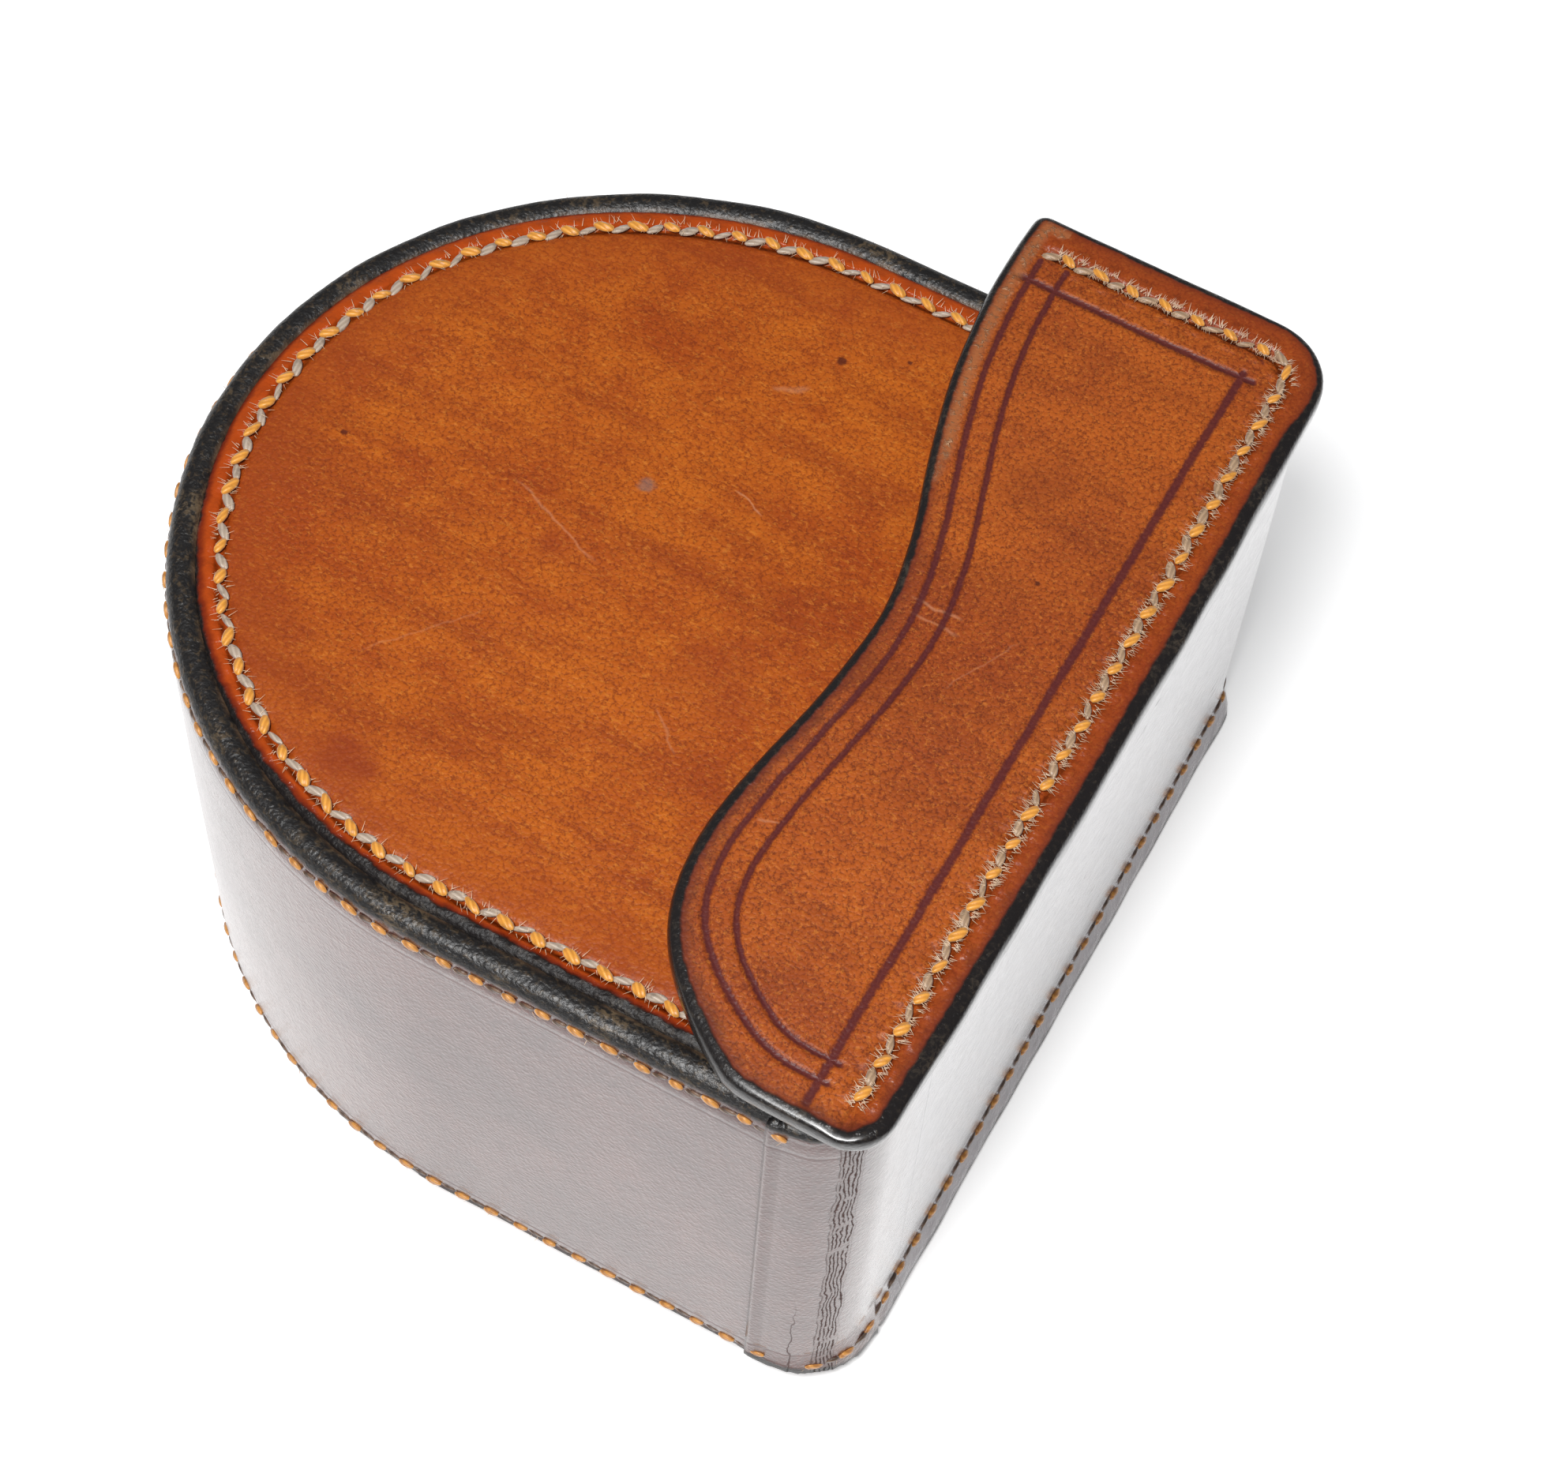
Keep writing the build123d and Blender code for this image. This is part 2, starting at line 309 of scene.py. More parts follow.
streak = cloud(grain_tree, streak_place, 260, 4.0, 0.6, 0.3)
grain_tree.links.new(between(grain_tree, streak, 0.42, 0.72), result.inputs[3])

# Burnished edges: hard black-brown edge dye over compressed fibres, with paler worn fibres.
edge_tree, place, result = effect("burnished edge", ("Relief", "Fibres", "Dust"))
fibre_place = add(edge_tree, "ShaderNodeMapping", place, None, None, (1.0, 1.0, 2.4)).outputs[0]
fibre = cloud(edge_tree, fibre_place, 1500, 4.0, 0.65, 0.5)
lumps = cloud(edge_tree, place, 420, 3.0, 0.6)
edge_tree.links.new(
    layered(edge_tree, fibre, 0.09, times(edge_tree, lumps, 0.16)),
    result.inputs[0],
)
edge_tree.links.new(between(edge_tree, fibre, 0.5, 0.72), result.inputs[1])
dust = cloud(edge_tree, place, 130, 3.0, 0.6)
dust = times(edge_tree, between(edge_tree, dust, 0.5, 0.72), between(edge_tree, fibre, 0.42, 0.6))
edge_tree.links.new(dust, result.inputs[2])


def finish(name):
    """A new material with its leather shader."""
    made = bpy.data.materials.new(name)
    made.use_nodes = True
    tree = made.node_tree
    shader = tree.nodes["Principled BSDF"]
    place = tree.nodes.new("ShaderNodeTexCoord").outputs["Object"]
    return made, tree, shader, place


def group(tree, shared, place):
    made = tree.nodes.new("ShaderNodeGroup")
    made.node_tree = shared
    tree.links.new(place, made.inputs[0])
    return made.outputs


def relief_on(tree, shader, height):
    """Relief in mm on a shader."""
    made = tree.nodes.new("ShaderNodeBump")
    made.inputs["Strength"].default_value = 1.0
    made.inputs["Distance"].default_value = mm
    tree.links.new(height, made.inputs["Height"])
    tree.links.new(made.outputs[0], shader.inputs["Normal"])


def spot(tree, place, x, y, size):
    """1 in a round spot at a place on the leather, 0 outside, with a ragged edge."""
    apart = add(tree, "ShaderNodeVectorMath", place, (x * mm, y * mm, 0), operation="SUBTRACT").outputs[0]
    flat = add(tree, "ShaderNodeVectorMath", apart, (1000, 1000, 0), operation="MULTIPLY").outputs[0]
    far = add(tree, "ShaderNodeVectorMath", flat, operation="LENGTH").outputs["Value"]
    ragged = layered(tree, cloud(tree, place, 1.1 / (size * mm), 2.0), size, far)
    return between(tree, ragged, size * 0.9, size * 1.5, 1.0, 0.0)


def scratch(tree, place, start, end, width):
    """1 on a straight scratch between two places, fading towards its ends."""
    (ax, ay), (bx, by) = start, end
    long = math.hypot(bx - ax, by - ay)
    angle = math.atan2(by - ay, bx - ax)
    made = add(
        tree, "ShaderNodeMapping", place, (ax * mm, ay * mm, 0), (0, 0, angle), vector_type="TEXTURE")
    split = add(tree, "ShaderNodeSeparateXYZ", made.outputs[0]).outputs
    wander = layered(tree, cloud(tree, place, 350, 2.0), 1.6 * mm, split[1])
    off = sum_of(tree, "ABSOLUTE", sum_of(tree, "SUBTRACT", wander, 0.8 * mm))
    across = between(tree, off, 0, width * mm, 1, 0)
    middle = sum_of(tree, "ABSOLUTE", sum_of(tree, "SUBTRACT", split[0], long * mm / 2))
    return times(tree, across, between(tree, middle, long * mm * 0.3, long * mm * 0.5, 1, 0))


def handled(tree, place, hide, spots, scratches, dots, stains, scuffs):
    """Leather with its use on it: spots of two sizes and scratches, each with its strength."""
    for x, y, size, strength in spots:
        stain = times(tree, spot(tree, place, x, y, size), strength)
        hide = mix(tree, stain, hide, dots if size < 1 else stains)
    for start, end, width, strength in scratches:
        line = times(tree, scratch(tree, place, start, end, width), strength)
        hide = mix(tree, times(tree, line, 0.7), hide, scuffs)
    return hide


def stitch_beat(tree, along, swing):
    """Runs between 0 and 1 once for every stitch along a seam."""
    beat = sum_of(tree, "COSINE", times(tree, along, 2 * math.pi / stitch_pitch))
    return layered(tree, beat, swing, 0.5)


face_finish, tree, shader, place = finish("tan saddle leather")
grain = group(tree, grain_tree, place)
edge = group(tree, edge_tree, place)
inset, along, border = measure(tree, "inset"), measure(tree, "along"), measure(tree, "border")
tan = mix(tree, grain["Clouds"], (0.47, 0.110, 0.009), (0.31, 0.050, 0.005))
tan = mix(tree, times(tree, grain["Streaks"], 0.75), tan, (0.25, 0.040, 0.006))
tan = mix(tree, times(tree, grain["Pores"], 0.7), tan, (0.15, 0.022, 0.005))
fleck_place = stretched(tree, place, 0.75, (0.5, 1.0, 1.0))
flecks = between(tree, cloud(tree, fleck_place, 2600, 3.0, 0.75, 0.5), 0.52, 0.68, 0.0, 0.4)
tan = mix(tree, flecks, tan, (0.64, 0.22, 0.03))
# handling has darkened the leather towards its seams and rubbed it paler in the middle
tan = mix(tree, between(tree, inset, 17.0, 6.0, 0.0, 0.5), tan, (0.29, 0.048, 0.007))
tan = mix(tree, between(tree, inset, 6.6, 5.6, 0.0, 0.85), tan, (0.40, 0.056, 0.006))
tan = handled(
    tree, place, tan,
    spots=((-15.6, -40.6, 4.5, 0.55), (-37.1, -7.1, 0.5, 0.9), (3.9, 28.1, 0.75, 0.9),
           (10.4, 31.6, 0.35, 0.9), (-10.9, -8.3, 2.6, 0.28), (12.0, -14.0, 7.0, 0.25)),
    scratches=(((-18.9, -2.7), (-5.2, -8.3), 0.28, 0.5), ((2.0, 7.4), (6.6, 6.0), 0.22, 0.75),
               ((-1.1, 20.9), (2.9, 23.3), 0.5, 0.5), ((-22.0, -30.0), (-12.0, -18.0), 0.2, 0.3),
               ((8.0, -20.0), (13.0, -24.0), 0.2, 0.4)),
    dots=(0.085, 0.014, 0.006), stains=(0.22, 0.03, 0.008), scuffs=(0.56, 0.24, 0.12))
grey = times(tree, spot(tree, place, -6.1, 3.2, 1.3), 0.5)
tan = mix(tree, grey, tan, (0.16, 0.13, 0.12))
# black edge dye, bled a little into the grain
bleed = layered(tree, cloud(tree, place, 600, 3.0), 0.9, border)
dyed = between(tree, bleed, 0.2, 0.6, 1.0, 0.0)
black = mix(tree, edge["Fibres"], (0.009, 0.007, 0.007), (0.035, 0.028, 0.024))
black = mix(tree, times(tree, edge["Dust"], 0.35), black, (0.15, 0.13, 0.105))
red = between(tree, bleed, 0.5, 1.2, 0.85, 0.0)
tan = mix(tree, red, tan, (0.13, 0.012, 0.004))
tree.links.new(mix(tree, dyed, tan, black), shader.inputs["Base Color"])
rough = between(tree, inset, 5.8, 7.2, 0.2, 0.42)
rough = layered(tree, grain["Clouds"], 0.08, rough)
rough = most(tree, rough, times(tree, dyed, 0.42))
tree.links.new(rough, shader.inputs["Roughness"])
shader.inputs["IOR"].default_value = 1.3
shader.inputs["Coat Weight"].default_value = 0.07
shader.inputs["Coat Roughness"].default_value = 0.22
# the thread pulls the leather into small pillows beside the seam
pillow = times(tree, bump_line(tree, inset, 5.15, 1.1), stitch_beat(tree, along, -0.5))
pucker = times(tree, bump_line(tree, inset, 7.0, 0.9), stitch_beat(tree, along, 0.5))
furrow = bump_line(tree, inset, seam_inset, 0.8)
edge_relief = times(tree, edge["Relief"], dyed)
height = built_up(
    tree, grain["Relief"], (pillow, 0.35), (pucker, 0.12), (furrow, -0.3), (edge_relief, 1.0))
relief_on(tree, shader, height)

for node, upward in (("body_top_face", 1), ("body_bottom_face", -1)):
    piece = leather(node.replace("body", "cup") + "_leather", [node], 0.5)
    place_mm, normal = places(piece)
    inset_mm, along_mm = cup_measures(place_mm[:, 0], place_mm[:, 1])
    skin = np.clip(normal[:, 2] * upward, 0, 1)
    swell = waves(place_mm, 26, 3) * 0.22 + waves(place_mm, 9, 5) * 0.07
    sink = -0.28 * np.exp(-(((inset_mm - seam_inset) / 1.6) ** 2))
    place_mm[:, 2] += upward * skin * (swell - 0.16 + sink)
    reach = np.where((inset_mm < 4.6) & (place_mm[:, 0] < mouth_x - 1), 0.22, 0.0)
    place_mm[:, :2] += normal[:, :2] * reach[:, None]
    move(piece, place_mm)
    dye_edge = np.interp(along_mm, [0, 45, 75, 110, 150, 240], [4.7, 4.7, 4.1, 3.6, 3.6, 3.4])
    skin_side = np.where(place_mm[:, 0] > mouth_x - 0.7, 0.0, inset_mm - dye_edge)
    mark(piece, inset=inset_mm, along=along_mm, border=skin_side)
    piece.data.materials.append(face_finish)
    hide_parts(node)
    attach(piece, "cup")


# ---------------------------------------------------------------------------------------------
# The long strip of hard, highly polished hide: wall of the cup, living hinge and wall of the cap
# are one length of it. Its cut edges stand round the faces as a rounded black bead.
# ---------------------------------------------------------------------------------------------
hinge_low, hinge_high = [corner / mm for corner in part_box("hinge_leather")]
cap_low, cap_high = [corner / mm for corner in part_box("lid_wall")]
hinge_radius = 9.0
corner_radius = 5.9                    # of the cap's far corner
curl_height, curl_reach = 4.6, 1.5
wall_swell = 0.12
hinge_centre = (hinge_high.x - hinge_radius, hinge_low.y + hinge_radius)
hinge_lead = hinge_centre[0] - crease_x
quarter = hinge_lead + hinge_radius * math.pi / 2

wall_finish, tree, shader, place = finish("polished brown hide")
grain = group(tree, grain_tree, place)
edge = group(tree, edge_tree, place)
rise, along, skin = measure(tree, "rise"), measure(tree, "along"), measure(tree, "skin")
brown = mix(tree, grain["Clouds"], (0.115, 0.034, 0.024), (0.070, 0.020, 0.016))
brown = mix(tree, times(tree, grain["Pores"], 0.5), brown, (0.02, 0.008, 0.007))
# the cap's flat wall is mixed towards a pale bluish grey: a painted reflection of the white floor
brown = mix(tree, between(tree, along, -14.0, -20.0, 0.0, 0.5), brown, (0.27, 0.275, 0.305))
# the bending hinge has cracked through the finish in a bundle of wavering upright lines
split = add(tree, "ShaderNodeSeparateXYZ", place).outputs
upright = times(tree, split[2], 1000.0)
sway = cloud(tree, add(tree, "ShaderNodeMapping", place, None, None, (1, 1, 0.55)).outputs[0], 480, 3.0, 0.6)
sway = layered(tree, sum_of(tree, "SUBTRACT", sway, 0.5), 1.5, along)
teeth = sum_of(tree, "PINGPONG", sum_of(tree, "ADD", sway, 50.0), 0.23)
bundle = times(tree, between(tree, sway, -8.3, -7.8), between(tree, sway, -5.6, -5.1, 1.0, 0.0))
broken = between(tree, cloud(tree, place, 520, 2.0), 0.32, 0.44)
split_skin = between(tree, teeth, 0.03, 0.14, 1.0, 0.0)
crack = times(tree, times(tree, split_skin, bundle), broken)
lone = times(tree, bump_line(tree, sway, -2.7, 0.16), between(tree, upright, 30.0, 12.0))
cracks = most(tree, crack, times(tree, lone, 0.8))
brown = mix(tree, times(tree, bundle, 0.5), brown, (0.10, 0.045, 0.035))
brown = mix(tree, cracks, brown, (0.060, 0.018, 0.012))
# dark needle marks on the cap's wall, and long faint rubs
dash_place = add(tree, "ShaderNodeMapping", place, None, None, (1, 0.16, 1)).outputs[0]
dash = between(tree, cloud(tree, dash_place, 1300, 2.0, 0.6), 0.66, 0.72)
dash = times(tree, dash, between(tree, cloud(tree, place, 90, 2.0), 0.48, 0.62))
dash = times(tree, dash, between(tree, along, -17.0, -20.0))
brown = mix(tree, times(tree, dash, 0.8), brown, (0.02, 0.01, 0.01))
bleed = layered(tree, cloud(tree, place, 500, 3.0), 0.7, rise)
low_down = between(tree, upright, 20.0, 12.0)
low_bead = times(tree, low_down, between(tree, along, -12.0, 0.0, -0.3, 0.55))
bleed = sum_of(tree, "SUBTRACT", bleed, low_bead)
dyed = most(tree, between(tree, bleed, 0.95, 1.7, 1.0, 0.0), between(tree, skin, 0.5, 0.3))
black = mix(tree, edge["Fibres"], (0.008, 0.007, 0.007), (0.060, 0.040, 0.022))
black = mix(tree, times(tree, edge["Dust"], 0.5), black, (0.16, 0.11, 0.06))
joint = between(tree, measure(tree, "joint"), 0.35, 0.9)
joint = times(tree, joint, between(tree, cloud(tree, place, 260, 3.0), 0.4, 0.6))
black = mix(tree, times(tree, joint, 0.75), black, (0.15, 0.085, 0.045))
inner = measure(tree, "flesh")
colour = mix(tree, dyed, brown, black)
colour = mix(tree, inner, colour, mix(tree, grain["Clouds"], (0.30, 0.16, 0.08), (0.20, 0.10, 0.05)))
tree.links.new(colour, shader.inputs["Base Color"])
smooth_skin = layered(tree, grain["Clouds"], 0.06, 0.17)
smooth_skin = layered(tree, bundle, 0.12, smooth_skin)
rough = most(tree, smooth_skin, times(tree, dyed, 0.4))
rough = most(tree, rough, times(tree, inner, 0.85))
rough = most(tree, rough, times(tree, cracks, 0.9))
tree.links.new(rough, shader.inputs["Roughness"])
shine = times(tree, sum_of(tree, "SUBTRACT", 1.0, dyed), sum_of(tree, "SUBTRACT", 1.0, inner))
worn = most(tree, cracks, times(tree, dash, 0.7))
worn = most(tree, worn, times(tree, bump_line(tree, along, 0.0, 1.4), 0.35))
dusk = between(tree, rise, 4.6, 1.6, 1.0, 0.35)
polish = times(tree, between(tree, along, -5.0, -15.0, 0.52, 1.0), dusk)
polish = times(tree, polish, sum_of(tree, "SUBTRACT", 1.0, worn))
polish = times(tree, polish, between(tree, along, 40.0, 100.0, 1.0, 0.84))
rub_place = add(tree, "ShaderNodeMapping", place, None, None, (0.3, 0.3, 1.5)).outputs[0]
rubs = between(tree, cloud(tree, rub_place, 1900, 3.0, 0.7), 0.4, 0.62, 1.0, 0.8)
polish = times(tree, polish, rubs)
tree.links.new(times(tree, shine, polish), shader.inputs["Coat Weight"])
shader.inputs["Coat Roughness"].default_value = 0.14
shader.inputs["Coat IOR"].default_value = 1.85
shader.inputs["IOR"].default_value = 1.55
pillow = times(tree, bump_line(tree, rise, 1.1, 0.8), stitch_beat(tree, along, -0.5))
rub_line = bump_line(tree, rise, 4.4, 0.5)
fold = sum_of(tree, "ADD", bump_line(tree, along, -0.9, 0.35), bump_line(tree, along, 0.9, 0.35))
fold = most(tree, fold, bump_line(tree, along, -20.2, 0.3))
ridge = bump_line(tree, along, 0.0, 1.0)
height = built_up(
    tree, times(tree, grain["Relief"], 0.9), (times(tree, edge["Relief"], dyed), 1.0),
    (times(tree, pillow, shine), 0.12), (times(tree, rub_line, shine), -0.08),
    (fold, -0.12), (ridge, 0.1), (cracks, -0.12))
relief_on(tree, shader, height)


def strip_measures(place_mm):
    """Running length along the outside of the strip: 0 at the hinge crease, negative over the
    hinge and the cap, positive round the cup."""
    x, y = place_mm[:, 0], place_mm[:, 1]
    turn = np.arctan2(x - hinge_centre[0], -(y - hinge_centre[1]))
    corner = -(hinge_lead + hinge_radius * np.clip(turn, 0, math.pi / 2))
    over = crease_x - x
    cap = -(quarter + (y - hinge_centre[1]))
    return_run = cap_high.y - hinge_centre[1] + quarter
    back = -(return_run + cap_high.x - x)
    along = np.where(y < hinge_centre[1], np.where(x > hinge_centre[0], corner, over), cap)
    return np.where((y > cap_high.y - 3.5) & (x < cap_high.x - 3.5), back, along)


def strip_piece(name, nodes, voxel):
    """A stretch of the strip with its polished skin, black edges and flesh side marked."""
    piece = leather(name, nodes, voxel, 3)
    place_mm, normal = places(piece)
    on_cup = nodes == ["body_wall"]
    on_cap = (place_mm[:, 1] > cap_low.y) & (not on_cup)
    low_z = np.where(on_cap, cap_low.z, wall_low.z)
    high_z = np.where(on_cap, cap_high.z, wall_high.z)
    rise_mm = np.minimum(place_mm[:, 2] - low_z, high_z - place_mm[:, 2])
    if on_cup:
        inset_mm, along_mm = cup_measures(place_mm[:, 0], place_mm[:, 1])
        flesh = (inset_mm > 2.6) & (np.abs(normal[:, 2]) < 0.5)
    else:
        along_mm = strip_measures(place_mm)
        inner = [hinge_centre[0] - place_mm[:, 0], hinge_centre[1] - place_mm[:, 1]]
        side = normal[:, 0] * inner[0] + normal[:, 1] * inner[1]
        cap_side = np.where(
            (place_mm[:, 1] > cap_high.y - 3.6) & (place_mm[:, 0] < cap_high.x - 3.6),
            normal[:, 1] < -0.5,
            np.where(place_mm[:, 1] > hinge_centre[1], normal[:, 0] < -0.5, side > 0.5),
        )
        flesh = cap_side & (np.abs(normal[:, 2]) < 0.5)
    skin = (np.abs(normal[:, 2]) < 0.72).astype(float)
    ease = np.clip(rise_mm / 6, 0, 1)
    push = waves(place_mm * np.array([1, 1, 0.7]), 24, 11) * wall_swell * ease
    place_mm[:, :2] += normal[:, :2] * (push - wall_swell * 0.6)[:, None]
    bead = (1 - np.clip(rise_mm / 2, 0, 1)) * waves(place_mm, 4.5, 17) * 0.1
    place_mm += normal * (bead - 0.03 * (rise_mm < 2))[:, None]
    joint = np.zeros(len(rise_mm))
    if on_cup:
        # the bead is domed and pressed close against the face
        joint = np.clip((inset_mm - 2.2) / 1.2, 0, 1) * (rise_mm < 1.6)
        towards = np.where(rise_mm < 2.4, np.clip((inset_mm - 2.0) / 1.2, 0, 1), 0) * 0.4
        place_mm[:, 0] += towards * np.clip((round_x - place_mm[:, 0]) / 45, 0, 1)
        place_mm[:, 1] -= towards * np.clip((place_mm[:, 1] - centre_y) / 42, -1, 1)
        dome = np.clip(1 - ((inset_mm - 1.9) / 1.7) ** 2, 0, 1) * 0.45
        dome *= np.clip(1 - rise_mm / 1.2, 0, 1)
        place_mm[:, 2] += dome * np.sign(place_mm[:, 2] - (wall_low.z + wall_high.z) / 2)
    else:
        # its lower edge curls out and down over the edge of the lower cheek
        bend_x = np.where(place_mm[:, 1] > 0, cap_high.x - corner_radius, hinge_centre[0])
        inner_x = np.minimum(place_mm[:, 0], bend_x)
        inner_y = np.clip(place_mm[:, 1], hinge_centre[1], cap_high.y - corner_radius)
        away = place_mm[:, :2] - np.stack([inner_x, inner_y], 1)
        away /= np.maximum(np.linalg.norm(away, axis=1), 0.001)[:, None]
        curl = np.clip(1 - (place_mm[:, 2] - low_z) / curl_height, 0, 1) ** 1.5
        turned = np.clip(-along_mm / 15, 0, 1)
        place_mm[:, :2] += away * (curl * turned * curl_reach)[:, None]
        drop = np.clip(-along_mm / 8, 0, 1) * 0.8 + np.clip(low_z - 3.0, 0, 1.4) * 0.9 * turned
        place_mm[:, 2] -= curl * (drop + 1.1 * turned)
    # hinge and wall run on into each other at the crease
    tail = np.clip(1.6 - np.abs(place_mm[:, 0] - crease_x) / 1.2, 0, 1) * (place_mm[:, 1] < hinge_low.y + 4)
    place_mm[:, 0] += tail * (1.0 if on_cup else -1.8)
    place_mm[:, 1] -= 0.22 * np.exp(-((along_mm / 1.0) ** 2)) * (place_mm[:, 1] < hinge_low.y + 4)
    move(piece, place_mm)
    mark(piece, rise=rise_mm, along=along_mm, skin=skin, flesh=flesh.astype(float), joint=joint)
    piece.data.materials.append(wall_finish)
    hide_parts(*nodes)
    return piece


cup_wall = strip_piece("cup_wall_strip", ["body_wall"], 0.62)
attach(cup_wall, "cup")
cap_strip = strip_piece("hinge_and_cap_strip", ["hinge_leather", "lid_wall"], 0.56)
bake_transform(cap_strip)


# ---------------------------------------------------------------------------------------------
# Inside: a thin suede lining glued to both faces and the wall of the cup, and a second strip of
# undyed hide glued inside the cap, flesh side out, which grips the cup.
# ---------------------------------------------------------------------------------------------
suede_finish, tree, shader, place = finish("undyed suede")
nap = cloud(tree, place, 1800, 4.0, 0.7, 0.4)
brushed = cloud(tree, place, 60, 3.0, 0.6, 1.2)
patches = cloud(tree, place, 24, 3.0, 0.5)
suede = mix(tree, between(tree, nap, 0.35, 0.7), (0.30, 0.17, 0.085), (0.46, 0.30, 0.17))
suede = mix(tree, between(tree, brushed, 0.45, 0.62, 0.0, 0.55), suede, (0.30, 0.165, 0.08))
suede = mix(tree, between(tree, patches, 0.5, 0.7, 0.0, 0.4), suede, (0.20, 0.10, 0.05))
tree.links.new(suede, shader.inputs["Base Color"])
shader.inputs["Roughness"].default_value = 0.92
shader.inputs["Sheen Weight"].default_value = 0.4
shader.inputs["Sheen Roughness"].default_value = 0.5
height = layered(tree, nap, 0.12, times(tree, brushed, 0.25))
relief_on(tree, shader, height)

for node, body in (("body_top_lining", "cup"), ("body_bottom_lining", "cup"), ("body_wall_lining", "cup"),
                   ("lid_liner", "cap")):
    piece = leather(node.replace("body", "cup").replace("lid", "cap") + "_suede", [node], 0.7)
    place_mm, normal = places(piece)
    sag = waves(place_mm, 12, 23) * 0.05 - 0.06
    move(piece, place_mm + normal * sag[:, None])
    piece.data.materials.append(suede_finish)
    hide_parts(node)
    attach(piece, body)


# ---------------------------------------------------------------------------------------------
# The two shaped cheeks of the cap, thick saddle leather with rounded black edges. The upper one
# has lines pressed in with a hot creaser: one along each straight side and a pair along the wave.
# ---------------------------------------------------------------------------------------------
cheek_low, cheek_high = [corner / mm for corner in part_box("lid_top_cheek")]
long_crease = cheek_high.x - 9.3
short_crease = cheek_high.y - 9.4

cheek_finish, tree, shader, place = finish("creased cap leather")
grain = group(tree, grain_tree, place)
edge = group(tree, edge_tree, place)
rim, wave, second = measure(tree, "rim"), measure(tree, "wave"), measure(tree, "second")
along, aside = measure(tree, "along"), measure(tree, "aside")
skin, worn, inked = measure(tree, "skin"), measure(tree, "worn"), measure(tree, "inked")
hide = mix(tree, grain["Clouds"], (0.42, 0.092, 0.011), (0.28, 0.050, 0.008))
hide = mix(tree, times(tree, grain["Streaks"], 0.4), hide, (0.19, 0.034, 0.007))
hide = mix(tree, times(tree, grain["Pores"], 0.75), hide, (0.11, 0.017, 0.005))
flecks = between(tree, cloud(tree, place, 2300, 3.0, 0.75, 0.6), 0.52, 0.68, 0.0, 0.45)
hide = mix(tree, flecks, hide, (0.60, 0.19, 0.028))
hide = mix(tree, between(tree, aside, 1.2, -1.0, 0.0, 0.55), hide, (0.25, 0.036, 0.007))
hide = handled(
    tree, place, hide,
    spots=((35.8, 10.8, 0.4, 0.9), (30.0, 22.0, 5.0, 0.35), (27.0, -8.0, 4.0, 0.25)),
    scratches=(((25.0, 3.0), (31.5, 2.8), 0.35, 0.7), ((25.6, 1.2), (32.0, 1.0), 0.3, 0.55),
               ((24.0, -28.0), (26.5, -27.0), 0.25, 0.6), ((33.0, -6.0), (38.0, 4.0), 0.2, 0.35)),
    dots=(0.08, 0.015, 0.006), stains=(0.19, 0.034, 0.008), scuffs=(0.54, 0.23, 0.12))
# the pressed lines
split = add(tree, "ShaderNodeSeparateXYZ", add(
    tree, "ShaderNodeVectorMath", place, (1000, 1000, 1000), operation="MULTIPLY").outputs[0]).outputs
tremor = layered(tree, cloud(tree, place, 120, 2.0), 0.4, -0.3)
ragged = layered(tree, cloud(tree, place, 2200, 2.0), 0.2, tremor)
east = sum_of(tree, "ADD", split[0], ragged)
north = sum_of(tree, "ADD", split[1], ragged)
pressed = times(tree, bump_line(tree, east, long_crease, 0.95),
                 times(tree, between(tree, split[1], -53.4, -52.6), between(tree, split[1], 46.8, 46.0)))
cross = times(tree, bump_line(tree, north, short_crease, 0.85),
               times(tree, between(tree, split[0], 15.2, 16.0), between(tree, split[0], 45.2, 44.3)))
reach = times(tree, between(tree, split[1], 49.4, 48.2), between(tree, split[0], 45.0, 43.6))
outer = times(tree, bump_line(tree, sum_of(tree, "ADD", wave, ragged), 0.0, 0.75), reach)
inner = times(tree, bump_line(tree, sum_of(tree, "ADD", second, ragged), 0.0, 0.7), reach)
lines = most(tree, most(tree, pressed, cross), most(tree, outer, inner))
lines = times(tree, lines, skin)
lines_tone = layered(tree, cloud(tree, place, 1500, 4.0, 0.75), -0.9, lines)
lines_tone = between(tree, lines_tone, -0.25, 0.4)
hide = mix(tree, times(tree, lines_tone, 0.9), hide, (0.080, 0.014, 0.017))
# the black edge, and the pale fibre worn through just inside it along the far half of the wave
low_half = between(tree, split[1], -2.0, -16.0, 0.35, 1.0)
bleed = layered(tree, cloud(tree, place, 700, 3.0), 0.55, rim)
outer_side = times(tree, between(tree, split[0], 46.5, 49.0), between(tree, split[1], 47.0, 40.0))
bleed = layered(tree, most(tree, low_half, times(tree, outer_side, 1.8)), -0.5, bleed)
dyed = most(tree, between(tree, bleed, 0.85, 1.25, 1.0, 0.0), between(tree, skin, 0.45, 0.25))
rubbed = between(tree, layered(tree, cloud(tree, place, 300, 4.0, 0.65), 1.0, worn), 0.9, 1.3)
black = mix(tree, edge["Fibres"], (0.010, 0.008, 0.008), (0.030, 0.023, 0.018))
black = mix(tree, times(tree, edge["Dust"], 0.25), black, (0.13, 0.10, 0.07))
pale = mix(tree, edge["Fibres"], (0.34, 0.11, 0.035), (0.62, 0.36, 0.20))
smoke = layered(tree, cloud(tree, place, 420, 4.0, 0.65), 4.0, rim)
smoke = times(tree, between(tree, smoke, 2.4, 5.2, 0.85, 0.0), low_half)
hide = mix(tree, smoke, hide, (0.075, 0.016, 0.008))
hide = mix(tree, between(tree, bleed, 0.95, 1.9, 0.75, 0.0), hide, (0.15, 0.022, 0.008))
black = mix(tree, inked, (0.11, 0.040, 0.026), black)
hide = mix(tree, dyed, hide, black)
chafe = times(tree, rubbed, times(tree, bump_line(tree, rim, 1.75, 1.1), skin))
